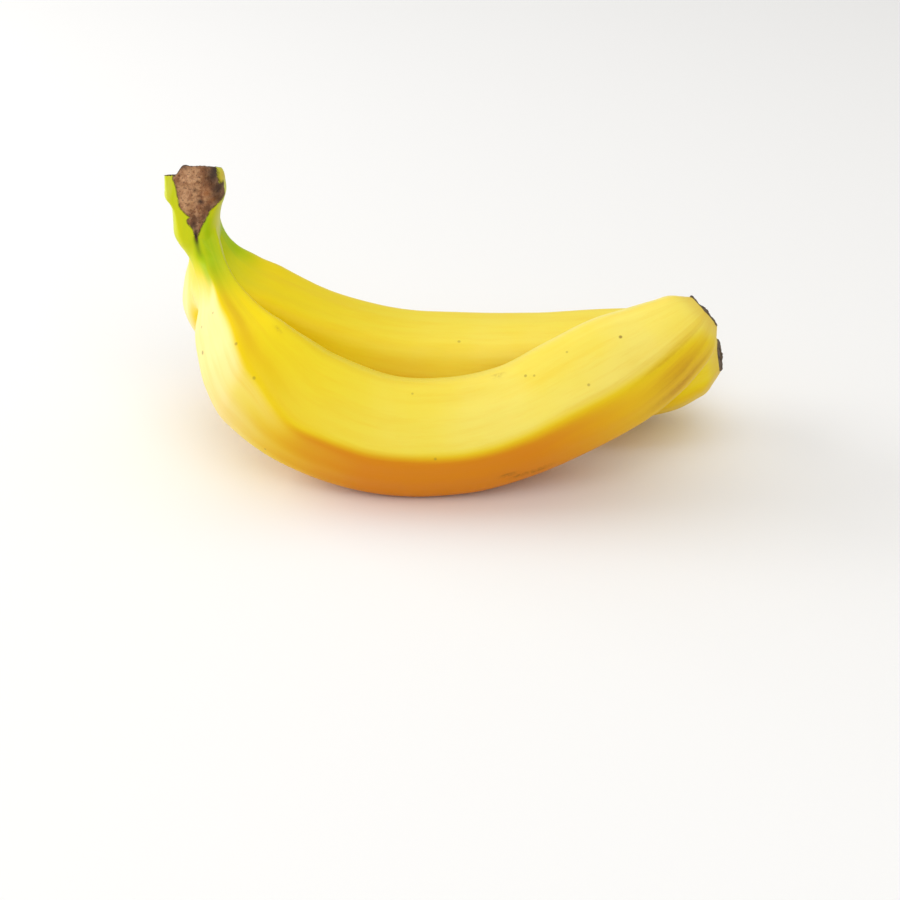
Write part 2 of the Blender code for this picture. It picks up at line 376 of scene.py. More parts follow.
def sweptFinger(finger, material):
    spine = spineOf(finger)
    values = {
        "Rings": fingerSkin["rings"], "Sides": fingerSkin["sides"], "Ridges": fingerSkin["ridges"],
        "Sharpening": fingerSkin["sharpening"], "Side": fingerSide, "End Crowding": fingerSkin["endCrowding"],
        "Finger Length": finger["length"] * mm, "Pattern Radius": fingerSkin["patternRadius"] * mm,
        "Unevenness": fingerSkin["unevenness"] * mm * 2, "Uneven Size": fingerSkin["unevenSize"] * mm,
        "Fluting": fingerSkin["fluting"] * mm * 2, "Flute Size": fingerSkin["fluteSize"] * mm,
        "Flute Stretch": fingerSkin["fluteStretch"], "Full Thickness": fingerSkin["fullThickness"] * mm,
        "Turn": math.radians(finger["turn"]), "Wander Power": fingerSkin["wanderPower"],
        "Crisp Width": math.radians(fingerSkin["crispWidth"]), "Seed": finger["seed"],
        "Skin Material": material,
    }
    tree = bpy.data.node_groups.get("fingerSkinAlongSpine") or buildFingerTree(values)
    modifier = spine.modifiers.new("skin", "NODES")
    modifier.node_group = tree
    for socket in tree.interface.items_tree:
        if socket.in_out == "INPUT" and socket.name in values:
            modifier[socket.identifier] = values[socket.name]
    bpy.context.view_layer.update()
    mesh = bpy.data.meshes.new_from_object(spine.evaluated_get(bpy.context.evaluated_depsgraph_get()))
    bpy.data.objects.remove(spine)
    closeShell(mesh)
    return linkNew(finger["name"], mesh)


# Crown: what is left of the stalk that both necks grow from

crown = {
    # height, middle x and y, half width along x and y, in millimetres, and slant; the lowest are the web of
    # skin between the necks
    "rings": [
        (36, -71, 35, 0.8, 2.5, -0.27), (39, -73.4, 36.3, 1.4, 4, -0.3),
        (42, -76.1, 37.9, 1.8, 5.5, -0.34), (46, -77.5, 40.2, 2, 7, -0.37),
        (50, -77.5, 43, 2.2, 7, -0.4), (54, -76.9, 45.3, 2.4, 7.5, -0.27),
        (57, -77.4, 47.2, 3.2, 7.8, -0.12), (59.5, -77.6, 48.6, 4.6, 8.5, -0.04),
        (62, -78, 49.2, 5.9, 9.6, 0), (65, -78.4, 49.6, 6.9, 10.4, 0),
        (69, -78.3, 50.2, 7.1, 10.8, 0), (73, -77.9, 50.8, 7.7, 11, 0),
        (75, -77.9, 51, 8.5, 11, 0), (76.5, -78.3, 51.2, 9.3, 10.9, 0),
        (78.5, -78.3, 51.3, 9.2, 10.8, 0), (81.5, -78.5, 51.6, 8.9, 10.4, 0),
        (84.5, -79.5, 51.8, 7.8, 9.8, 0), (90, -81, 52, 6, 8.6, 0),
    ],
    "sides": 190, "steps": 30, "spacing": 0.3, "capRings": 26, "squareness": 2.6,
}


def crownShell(material):
    rows = np.array(crown["rings"])
    fine, _ = smoothRows(np.column_stack([rows[:, 0], rows[:, 0] * 0, rows[:, 0] * 0, rows]), crown["steps"])
    heights = np.arange(rows[0, 0], rows[-1, 0], crown["spacing"])
    rings = np.stack([np.interp(heights, fine[:, 0], column) for column in fine[:, 3:].T], axis=1)
    angles = np.linspace(0, 2 * math.pi, crown["sides"], endpoint=False)
    power = crown["squareness"]
    reach = (np.abs(np.cos(angles)) ** power + np.abs(np.sin(angles)) ** power) ** (-1 / power)
    outline = np.stack([np.cos(angles) * reach, np.sin(angles) * reach], axis=1)
    points = []
    for z, x, y, halfX, halfY, slant in rings:
        across = x + halfX * outline[:, 0] + slant * halfY * outline[:, 1]
        points.append(np.column_stack([across, y + halfY * outline[:, 1], np.full(len(angles), z)]))
    z, x, y, halfX, halfY, _ = rings[-1]
    for k in range(1, crown["capRings"]):
        shrink = 1 - k / crown["capRings"]
        points.append(np.column_stack([x + halfX * shrink * outline[:, 0], y + halfY * shrink * outline[:, 1],
                                       np.full(len(angles), z)]))
    points = np.vstack(points + [[rings[0, [1, 2, 0]]], [[x, y, z]]]) * mm
    mesh = ringShell("crown", points, crown["sides"], material)
    none = np.zeros(len(points))
    setAttributes(mesh, {"share": none, "ridgeCrest": none, "skinPlace": points[:, [2, 0, 1]]})
    return linkNew("crown", mesh)


# One skin over both fingers and the crown

trims = {
    "knifeFacing": (0.03, 0.39, 0.92), "knifeMiddle": (-77.0, 52.0, 84.5), "stepMiddle": (-97.9, 52.0, 81.7),
    "stepEdge": (-83.7, -80.6), "knifeSoftness": 0.5,
    "scarFacing": (-0.12, -0.95, 0.29), "scarMiddle": (-77.0, 42.4, 75.5), "scarBottom": (58.5, 61.5),
    "scarSoftness": 0.4, "groundSoftness": 0.35,
    "weld": 0.06, "seamFound": 0.002, "seamReach": 3.2, "seamPull": 0.6, "seamPasses": 28,
    # the skin that grows over the cleft between the necks, on the crown's side
    "webReach": (2.7, 9), "webPasses": 260, "webSide": (-66, -71), "webHeights": (30, 37, 60, 66),
}


def nearestOf(places, sources):
    tree = kdtree.KDTree(len(sources))
    for k, point in enumerate(sources):
        tree.insert(point, k)
    tree.balance()
    found = [tree.find(point) for point in places]
    return np.array([f[1] for f in found]), np.array([f[2] for f in found])


def joinShapes(shapes):
    for other in shapes[1:]:
        joint = shapes[0].modifiers.new("join", "BOOLEAN")
        joint.operation, joint.solver, joint.object = "UNION", "MANIFOLD", other
    bpy.context.view_layer.update()
    mesh = bpy.data.meshes.new_from_object(shapes[0].evaluated_get(bpy.context.evaluated_depsgraph_get()))
    for old in shapes:
        bpy.data.objects.remove(old)
    return mesh


def relax(points, mesh, weights, passes, normals=None):
    # moves each point towards the middle of its neighbours, by its weight; with normals, only outwards
    edges = np.zeros(len(mesh.edges) * 2, np.int32)
    mesh.edges.foreach_get("vertices", edges)
    edges = edges.reshape(-1, 2)
    edges = edges[(weights[edges] > 0).any(axis=1)]
    counts = np.maximum(np.bincount(edges.ravel(), minlength=len(points)), 1)[:, None]
    for _ in range(passes):
        total = np.zeros_like(points)
        np.add.at(total, edges[:, 0], points[edges[:, 1]])
        np.add.at(total, edges[:, 1], points[edges[:, 0]])
        pull = total / counts - points
        if normals is None:
            points = points + pull * weights[:, None]
        else:
            outwards = np.maximum((pull * normals).sum(axis=1), 0.0)
            points = points + normals * (outwards * weights)[:, None]
    return points


def pressBack(points, beyond, facing, softness, amount=1.0):
    # brings what lies beyond a plane back onto it, with a slightly rounded edge
    rounded = beyond - (beyond + softness) ** 2 / (4 * softness)
    pressed = np.where(beyond > softness, 0.0, np.where(beyond < -softness, beyond, rounded))
    return points + np.outer((pressed - beyond) * amount, facing)


def unit(vector):
    return np.array(vector) / np.linalg.norm(vector)


def aboveKnife(points):
    # how far each point is above the knife cut, which has a step in it, and the way the cut faces
    facing = unit(trims["knifeFacing"])
    high, low = (np.dot(facing, trims[name]) for name in ("knifeMiddle", "stepMiddle"))
    return points @ facing - (low + (high - low) * smoothStep(*trims["stepEdge"], points[:, 0])), facing


def fuseSkin(skinMaterial):
    shapes = [sweptFinger(finger, skinMaterial) for finger in (frontFinger, backFinger)]
    shapes.append(crownShell(skinMaterial))
    sources = np.vstack([meshPoints(shape.data) for shape in shapes])
    grown = {name: np.concatenate([getAttribute(shape.data, name, width) for shape in shapes])
             for name, width in (("share", 1), ("ridgeCrest", 1), ("skinPlace", 3))}
    grown["growth"] = np.repeat(range(len(shapes)), [len(shape.data.vertices) for shape in shapes])
    mesh = joinShapes(shapes)
    shell = bmesh.new()
    shell.from_mesh(mesh)
    bmesh.ops.remove_doubles(shell, verts=shell.verts, dist=trims["weld"] * mm)
    bmesh.ops.triangulate(shell, faces=[f for f in shell.faces if len(f.verts) > 4])
    shell.to_mesh(mesh)
    shell.free()
    mesh.name = "bananaSkin"
    mesh.materials.clear()
    mesh.materials.append(skinMaterial)

    points = meshPoints(mesh)
    nearest, distance = nearestOf(points, sources)
    seam = points[distance > trims["seamFound"] * mm]
    _, fromSeam = nearestOf(points, seam)
    weights = 1 - smoothStep(0.0, trims["seamReach"] * mm, fromSeam)
    points = relax(points, mesh, weights * trims["seamPull"], trims["seamPasses"])
    setPoints(mesh, points)
    points = points / mm
    starts, full, fades, ends = trims["webHeights"]
    web = 1 - smoothStep(*trims["webReach"], fromSeam / mm)
    web *= smoothStep(*trims["webSide"], points[:, 0])
    web *= smoothStep(starts, full, points[:, 2]) * (1 - smoothStep(fades, ends, points[:, 2]))
    points = relax(points, mesh, web, trims["webPasses"], meshNormals(mesh))

    points = pressBack(points, *aboveKnife(points), trims["knifeSoftness"])
    facing = unit(trims["scarFacing"])
    beyond, amount = (points - trims["scarMiddle"]) @ facing, smoothStep(*trims["scarBottom"], points[:, 2])
    points = pressBack(points, beyond, facing, trims["scarSoftness"], amount)
    points = pressBack(points, -points[:, 2], np.array([0.0, 0.0, -1.0]), trims["groundSoftness"])

    setPoints(mesh, points * mm)
    setAttributes(mesh, {name: values[nearest] for name, values in grown.items()})
    closeShell(mesh)
    return mesh


# Torn scar, groove below it and dried knife cut

scar = {
    # outline as x and z in millimetres, clockwise from the lug at its upper left
    "outline": [
        (-83.9, 84.4), (-83.3, 85.8), (-82, 87.4), (-80.3, 88.4), (-77.2, 88.8), (-74.2, 88.8),
        (-72, 88.4), (-71.6, 86.4), (-71.6, 84.9), (-70.9, 82.9), (-70.1, 81.2), (-69, 80.2),
        (-67.6, 79.4), (-67.8, 78.2), (-69.3, 76.6), (-71.2, 75.7), (-72.8, 74.4), (-73.8, 72.9),
        (-74.6, 71.4), (-75.6, 69.7), (-76.4, 68.2), (-77, 66.7), (-77.6, 65.1), (-78.1, 67.3),
        (-78.5, 68.7), (-79.7, 69.9), (-80.2, 71), (-79.3, 72), (-80.6, 73), (-82.3, 74.8),
        (-82.8, 77.5), (-83.4, 80.8), (-84.1, 82.8),
    ],
    "outlineSteps": 8, "depth": (-7.0, 2.6), "lowest": 55.0, "margin": 1.5, "reliefEdge": (0.2, 1.6),
    "dome": 1.3, "domeReach": 6.0, "crust": 0.25, "crustPlace": 0.3, "crustWidth": 0.4,
    "lumpSize": 3.4, "lumpHeight": 1.0, "grainSize": 1.0, "grainHeight": 0.35,
    "pitSize": 2.0, "pitEdge": 0.42, "pitDepth": 0.9,
}
groove = {
    # x, y and z in millimetres, from the scar's tip down the first ridge
    "path": [(-77.6, 39.6, 66), (-77.2, 39.4, 63.8), (-76.8, 39, 62.2), (-76.3, 38.6, 61),
             (-75.6, 37.6, 59.6)],
    # the dark line along the groove is part stain, part painted shade in the crease
    "width": 0.5, "depth": 0.7, "fade": (0.55, 1.0), "stainAndShadeWidth": 0.65, "stainAndShadeFade": (0.5, 1.0),
}
knifeCut = {
    "lowest": 70.0, "within": 0.25, "rim": (0.35, 1.2), "dish": 0.5, "dishReach": 4.0,
    "fibreSize": 1.3, "fibreHeight": 0.35, "fibreEdge": (0.3, 1.5), "finishFrom": 0.12,
}


def closedCurve(corners, steps):
    # a smooth closed line through the corners
    corners = np.array(corners)
    before, after, beyond = (np.roll(corners, k, axis=0) for k in (1, -1, -2))
    f = (np.arange(steps) / steps)[:, None, None]
    curve = 0.5 * (2 * corners + (after - before) * f
                   + (2 * before - 5 * corners + 4 * after - beyond) * f ** 2
                   + (3 * corners - before - 3 * after + beyond) * f ** 3)
    return curve.transpose(1, 0, 2).reshape(-1, 2)


def insideBy(places, outline):
    # how far inside a closed outline each place is; outside counts below nothing
    nextOnes = np.roll(outline, -1, axis=0)
    edge = nextOnes - outline
    towards = places[:, None, :] - outline[None]
    f = np.clip((towards * edge).sum(2) / (edge ** 2).sum(1), 0.0, 1.0)
    distance = np.linalg.norm(towards - f[..., None] * edge, axis=2).min(1)
    x, z = places[:, 0:1], places[:, 1:2]
    crosses = (outline[:, 1] > z) != (nextOnes[:, 1] > z)
    with np.errstate(divide="ignore", invalid="ignore"):
        at = outline[:, 0] + (z - outline[:, 1]) / (nextOnes[:, 1] - outline[:, 1]) * edge[:, 0]
    inside = (crosses & (x < at)).sum(1) % 2 == 1
    return np.where(inside, distance, -distance)


def alongPath(points, path):
    # distance to a line of several points, and the share of the line reached
    best, shares = np.full(len(points), 1e9), np.zeros(len(points))
    for k, (a, b) in enumerate(zip(np.array(path), np.array(path)[1:])):
        f = np.clip((points - a) @ (b - a) / ((b - a) @ (b - a)), 0.0, 1.0)
        distance = np.linalg.norm(points - a - np.outer(f, b - a), axis=1)
        nearer = distance < best
        best[nearer], shares[nearer] = distance[nearer], (k + f[nearer]) / (len(path) - 1)
    return best, shares


def bell(x, width):
    return np.exp(-(x / width) ** 2)


def corkRelief(points):
    heights = np.zeros(len(points))
    for k, point in enumerate(points):
        place = Vector(point)
        lumps = noise.fractal(place / scar["lumpSize"], 1.0, 2.0, 3)
        grain = noise.noise(place / scar["grainSize"])
        pit = max(0.0, scar["pitEdge"] - noise.voronoi(place / scar["pitSize"])[0][0]) / scar["pitEdge"]
        heights[k] = scar["lumpHeight"] * lumps + scar["grainHeight"] * grain - scar["pitDepth"] * pit
    return heights


def carveCrown(mesh):
    points = meshPoints(mesh) / mm
    height = points[:, 2]
    edgeIn = np.full(len(points), -9.0)        # well outside the scar
    facing = unit(trims["scarFacing"])
    behind = (points - trims["scarMiddle"]) @ facing
    near = (behind > scar["depth"][0]) & (behind < scar["depth"][1]) & (height > scar["lowest"])
    outline = closedCurve(scar["outline"], scar["outlineSteps"])
    edgeIn[near] = insideBy(points[near][:, [0, 2]], outline)
    torn = np.flatnonzero(edgeIn > -scar["margin"])
    depth = edgeIn[torn]
    rise = corkRelief(points[torn]) * smoothStep(*scar["reliefEdge"], depth)
    rise += scar["dome"] * smoothStep(0.0, scar["domeReach"], depth)
    rise += scar["crust"] * bell(depth - scar["crustPlace"], scar["crustWidth"])
    moved = points.copy()
    moved[torn] += np.outer(rise, facing)

    above, knife = aboveKnife(points)
    nearest, furthest = knifeCut["rim"]
    cut = np.flatnonzero((above > -knifeCut["within"]) & (height > knifeCut["lowest"]))
    rim = (above < -nearest) & (above > -furthest) & (height > knifeCut["lowest"])
    cutIn = np.zeros(len(points))
    _, cutIn[cut] = nearestOf(points[cut], points[rim])
    fibres = np.array([noise.noise(Vector(p) / knifeCut["fibreSize"]) for p in points[cut]])
    sink = knifeCut["dish"] * smoothStep(0.0, knifeCut["dishReach"], cutIn[cut])
    sink += knifeCut["fibreHeight"] * fibres * smoothStep(*knifeCut["fibreEdge"], cutIn[cut])
    moved[cut] -= np.outer(sink, knife)

    distance, down = alongPath(points, groove["path"])
    carved = bell(distance, groove["width"]) * (1 - smoothStep(*groove["fade"], down))
    moved -= meshNormals(mesh) * (carved * groove["depth"])[:, None]
    setPoints(mesh, moved * mm)
    # the groove's darkening, partly stain and partly painted shade in the crease
    stainAndPaintedShade = bell(distance, groove["stainAndShadeWidth"]) * (1 - smoothStep(*groove["stainAndShadeFade"], down))
    setAttributes(mesh, {"scarIn": edgeIn, "cutIn": cutIn, "grooveStainAndPaintedShade": stainAndPaintedShade})


# Blossom ends: the withered, hard discs where the flowers sat

blossomEnd = {
    # radius as a share of the finger's end, and height in millimetres above it
    "profile": [(0.88, -1.1), (0.95, -0.4), (0.98, 0), (0.95, 0.3), (0.88, 0.45), (0.81, 0.42), (0.73, 0.38),
                (0.60, 0.34), (0.46, 0.34), (0.35, 0.4), (0.27, 0.55), (0.19, 0.8), (0.09, 0.85)],
    "profileSteps": 6, "sides": 120, "fiveness": 0.05, "reliefFrom": (-0.5, 0.8),
    # how far the rim and the top are uneven, each with how many lumps fit in the end's radius
    "ragged": [(0.09, 2.3), (0.03, 7.0)], "buckled": (0.45, 3.1),
    "wrinkles": 22, "wrinkleDepth": 0.096, "wrinkleSway": 60.0,
}


def witheredEnd(finger, material):
    end = finger["end"]
    rows, _ = smoothRows([(r, h, 0.0) for r, h in blossomEnd["profile"]], blossomEnd["profileSteps"])
    centre, along, side = Vector(end["centre"]), Vector(end["along"]), Vector(fingerSide)
    side = (side - along * side.dot(along)).normalized()
    outer = along.cross(side)
    sides = blossomEnd["sides"]
    points = []
    for radius, height, _ in rows:
        for k in range(sides):
            angle = 2 * math.pi * k / sides
            rim = Vector((math.cos(angle), math.sin(angle), finger["seed"]))
            rag = sum(noise.noise(rim * waves) * size for size, waves in blossomEnd["ragged"])
            five = blossomEnd["fiveness"] * math.cos(fingerSkin["ridges"] * angle)
            r = end["radius"] * radius * (1 + (five + rag) * radius)
            size, waves = blossomEnd["buckled"]
            relief = size * noise.noise(rim * waves + Vector((0, 0, radius)))
            sway = blossomEnd["wrinkles"] * angle + blossomEnd["wrinkleSway"] * rag
            relief += blossomEnd["wrinkleDepth"] * math.cos(sway) * (1 - radius)
            h = height + smoothStep(*blossomEnd["reliefFrom"], height) * relief
            way = side * math.cos(angle + end["turn"]) + outer * math.sin(angle + end["turn"])
            points.append(centre + way * r + along * h)
    points += [centre + along * rows[0][1], centre + along * rows[-1][1]]
    return ringShell(finger["name"] + "BlossomEnd", [point * mm for point in points], sides, material)


# Materials

def newMaterial(name):
    # a material, with what adds a node to it, what fills its shader, and the place that its patterns follow
    material = bpy.data.materials.new(name)
    material.use_nodes = True
    tree = material.node_tree
    node = partial(addNode, tree)
    fill = partial(fillInputs, tree, tree.nodes["Principled BSDF"])
    return material, node, fill, node("ShaderNodeTexCoord", out="Object")


def layered(node, colours, base, layers):
    # lays one colour over another, each by its own amount
    colour = hexColour(colours[base])
    for name, amount in layers:
        colour = node("ShaderNodeMix", {0: amount, 6: colour, 7: hexColour(colours[name])}, out=2,
                      data_type="RGBA")
    return colour


# Banana skin: a thin peel under natural wax, so a soft sheen over clear yellow, green where it ripens last
# some tones stand for painted light: the pale on upward faces is top light, the cream is a highlight, the
# amber is shade on the underside, and gold also paints the shade beside the first ridge
peelColours = {
    "yellow": "#F4DA08", "paleAndPaintedTopLight": "#F9E66C", "paintedHighlightAndPaleLug": "#FBEAA2", "goldAndPaintedShade": "#EFC000", "under": "#DA7800",
    "neck": "#CAD214", "green": "#A2C400", "bruise": "#D6A010", "scuff": "#8E5A1E", "speck": "#86642A",
    "crust": "#3E281A", "tip": "#E2BE50",
}
peelSizes = {
    "mottle": 30, "streaks": 4, "specks": 13, "fibre": 0.9, "pores": 0.45, "blotches": 2.6, "graze": 1.1,
}
peelFinish = {
    "stretch": 0.09, "speckReach": 0.45, "speckStrength": 0.55, "spotCore": 0.4, "tipShares": (0.978, 1.0),
    "tipStrength": 0.6, "crustEdge": (-0.55, -0.05), "poreHeight": 0.35, "bump": 0.12,
    # how far streaks, blotches and scrapes break each tone up: two limits of the pattern, and two amounts
    "broken": {"paleAndPaintedTopLight": ("mottle", 0.4, 0.62, 0.7, 1.0), "neck": ("streaks", 0.3, 0.7, 0.8, 1.1),
               "green": ("streaks", 0.3, 0.7, 0.75, 1.1), "bruise": ("blotches", 0.32, 0.62, 0.35, 1.1),
               "scuff": ("graze", 0.38, 0.6, 0.15, 1.1)},
}
# x, y and z in millimetres of the small brown spots that show on the skin, their reach and their strength
peelSpots = [
    (49.9, 1.9, 51.2, 0.7, 0.75), (40.4, -7.4, 40.3, 0.6, 0.45), (22.2, -1.4, 40.1, 0.6, 0.5),
    (24.7, -2.2, 40.6, 0.5, 0.4), (2.8, 33.8, 33.6, 0.7, 0.4), (-11.1, -1.5, 34.2, 0.5, 0.35),
    (34.3, 0.8, 46.8, 0.5, 0.35), (-4.3, -14.5, 19.4, 0.6, 0.4), (-74.6, 16.4, 38.6, 0.9, 0.6),
    (-63.3, 5.6, 47.2, 0.8, 0.5), (-57.6, -2.8, 40.1, 0.8, 0.45), (-71.5, 21.6, 49.4, 0.6, 0.4),
    (-75.2, 22.3, 44.3, 0.7, 0.45),
]
peelTold = ("share", "ridgeCrest", "neck", "green", "underside", "paleAndPaintedTopLight", "paintedHighlightAndPaleLug", "goldAndPaintedShade", "bruise", "scuff",
            "scarIn", "grooveStainAndPaintedShade")


def bananaPeel():
    material, node, fill, place = newMaterial("waxedBananaPeel")
    sums, ramp, arrows = "ShaderNodeMath", "ShaderNodeMapRange", "ShaderNodeVectorMath"
    told = {name: node("ShaderNodeAttribute", out="Fac", attribute_name=name) for name in peelTold}
    skinPlace = node("ShaderNodeAttribute", out="Vector", attribute_name="skinPlace")
    lengthways = node(arrows, (skinPlace, (peelFinish["stretch"], 1.0, 1.0)), **times)
    pattern = {}
    for name, where, detail, roughness in (
            ("mottle", place, 3, 0.5), ("streaks", lengthways, 4, 0.6), ("blotches", lengthways, 5, 0.7),
            ("graze", place, 5, 0.75), ("fibre", lengthways, 3, 0.5), ("pores", place, 2, 0.5)):
        pattern[name] = node("ShaderNodeTexNoise", {"Vector": where, "Scale": 1 / (peelSizes[name] * mm),
                                                    "Detail": detail, "Roughness": roughness})
    for name, (breaker, *limits) in peelFinish["broken"].items():
        told[name] = node(sums, (told[name], node(ramp, (pattern[breaker], *limits))), **times,
                          use_clamp=True)

    # small specks in half of the cells of a net, and the spots at their own places
    cells = node("ShaderNodeTexVoronoi", {"Vector": place, "Scale": 1 / (peelSizes["specks"] * mm)}, out=None)
    chosen = node("ShaderNodeSeparateColor", (cells.outputs["Color"],))
    chosen = node(sums, (chosen, 0.5), operation="GREATER_THAN")
    reach = peelFinish["speckReach"] / peelSizes["specks"]
    dots = [(cells.outputs["Distance"], reach, peelFinish["speckStrength"])]
    for x, y, z, reach, strength in peelSpots:
        middle = tuple(Vector((x, y, z)) * mm + Vector(standPlace))
        dots.append((node(arrows, (place, middle), out="Value", operation="DISTANCE"), reach * mm, strength))
    dots = [node(ramp, {0: away, 1: reach, 2: reach * peelFinish["spotCore"], 4: strength},
                 **soft) for away, reach, strength in dots]
    speck = node(sums, (dots[0], chosen), **times)
    for spot in dots[1:]:
        speck = node(sums, (speck, spot), operation="MAXIMUM")

    starts, full = peelFinish["tipShares"]
    tip = node(ramp, {0: told["share"], 1: starts, 2: full, 4: peelFinish["tipStrength"]},
               **soft)
    starts, full = peelFinish["crustEdge"]
    crust = node(ramp, {0: told["scarIn"], 1: starts, 2: full}, **soft)
    crust = node(sums, (crust, node(ramp, (pattern["graze"], 0.35, 0.55, 0.1, 0.9))), **times)
    # the groove's dark line is a stain with painted crease shade
    crust = node(sums, (crust, told["grooveStainAndPaintedShade"]), operation="MAXIMUM")
    # painted light among these layers: top light in the pale tone, the cream highlight, the shaded gold
    # strip, the amber shade on the underside and the shade in the groove
    colour = layered(node, peelColours, "yellow", [
        ("paleAndPaintedTopLight", told["paleAndPaintedTopLight"]), ("paintedHighlightAndPaleLug", told["paintedHighlightAndPaleLug"]),
        ("goldAndPaintedShade", node(ramp, (pattern["streaks"], 0.48, 0.8, 0.0, 0.3))), ("goldAndPaintedShade", told["goldAndPaintedShade"]),
        ("goldAndPaintedShade", node(ramp, (pattern["blotches"], 0.5, 0.75, 0.0, 0.25))),
        ("goldAndPaintedShade", node(ramp, (told["ridgeCrest"], 0.85, 1.0, 0.0, 0.12))), ("under", told["underside"]),
        *((name, told[name]) for name in ("neck", "green", "bruise", "scuff")),
        ("speck", speck), ("tip", tip), ("crust", crust),
    ])
    worn = node(sums, (told["scuff"], crust), operation="MAXIMUM")
    relief = node(sums, (pattern["pores"], peelFinish["poreHeight"]), **times)
    relief = node(sums, (relief, pattern["fibre"]))
    bump = node("ShaderNodeBump", {"Strength": 0.3, "Distance": peelFinish["bump"] * mm, "Height": relief})
    fill({
        "Base Color": colour, "Roughness": node(ramp, (worn, 0.0, 1.0, 0.42, 0.75)), "Normal": bump,
        "Specular IOR Level": 0.15, "Coat Weight": 0.03, "Coat Roughness": 0.35,
        "Subsurface Weight": 0.06, "Subsurface Radius": (1.0, 0.7, 0.1), "Subsurface Scale": 2 * mm,
    })
    return material


# Torn crown tissue: dried corky pith, matt and tan, dark in its pits and at its crust, with painted shade on
# its right-hand faces
cork = {
    "colours": {"tan": "#C6966C", "brown": "#93623F", "dark": "#2A1910", "rust": "#9A5418"},
    "lumpSize": 10 / 4.2, "grainSize": 10 / 15, "lit": (0.42, 0.58, -0.2, 0.75), "grit": (0.46, 0.32),
    "gritStrength": 0.8,
}


def tornCork():
    material, node, fill, place = newMaterial("driedCorkyPith")
    ramp = "ShaderNodeMapRange"
    tan, shade, rust = (node("ShaderNodeAttribute", out="Fac", attribute_name=name)
                        for name in ("scarTan", "scarCrustAndPaintedShade", "scarRust"))
    lumps, grain = (node("ShaderNodeTexNoise", {"Vector": place, "Scale": 1 / (cork[size] * mm),
                                                "Detail": detail, "Roughness": roughness})
                    for size, detail, roughness in (("lumpSize", 5.0, 0.65), ("grainSize", 4.0, 0.7)))
    tan = node("ShaderNodeMath", (node(ramp, (lumps, *cork["lit"])), tan), use_clamp=True)
    starts, full = cork["grit"]
    grit = node(ramp, {0: grain, 1: starts, 2: full, 4: cork["gritStrength"]})
    # the second dark layer is the crust at the scar's edge together with painted shade
    layers = [("tan", tan), ("dark", grit), ("dark", shade), ("rust", rust)]
    fill({
        "Base Color": layered(node, cork["colours"], "brown", layers), "Roughness": 0.85,
        "Normal": node("ShaderNodeBump", {"Strength": 0.8, "Distance": 0.3 * mm, "Height": grain}),
    })
    return material


driedFinishes = {
    # Knife cut: sealed with dried sap, so dark, leathery and a little smoother than the tear
    "driedKnifeCut": {"colours": {"dark": "#2E211A", "light": "#6B5038"}, "fibreSize": 10 / 7,
                      "lit": (0.35, 0.68), "roughness": 0.7},
    # Withered flower scar: hard, dry and nearly black, with a grey bloom on its high places
    "witheredBlossomScar": {"colours": {"dark": "#35281F", "light": "#8A7458"}, "fibreSize": 10 / 9,
                            "lit": (0.38, 0.7), "roughness": 0.8},
}


def driedTissue(name):
    finish = driedFinishes[name]
    material, node, fill, place = newMaterial(name)
    fibres = node("ShaderNodeTexNoise", {"Vector": place, "Scale": 1 / (finish["fibreSize"] * mm),
                                         "Detail": 5.0, "Roughness": 0.7})
    light = node("ShaderNodeMapRange", (fibres, *finish["lit"]))
    fill({
        "Base Color": layered(node, finish["colours"], "dark", [("light", light)]),
        "Roughness": finish["roughness"],
        "Normal": node("ShaderNodeBump", {"Strength": 0.7, "Distance": 0.3 * mm, "Height": fibres}),
    })
    return material


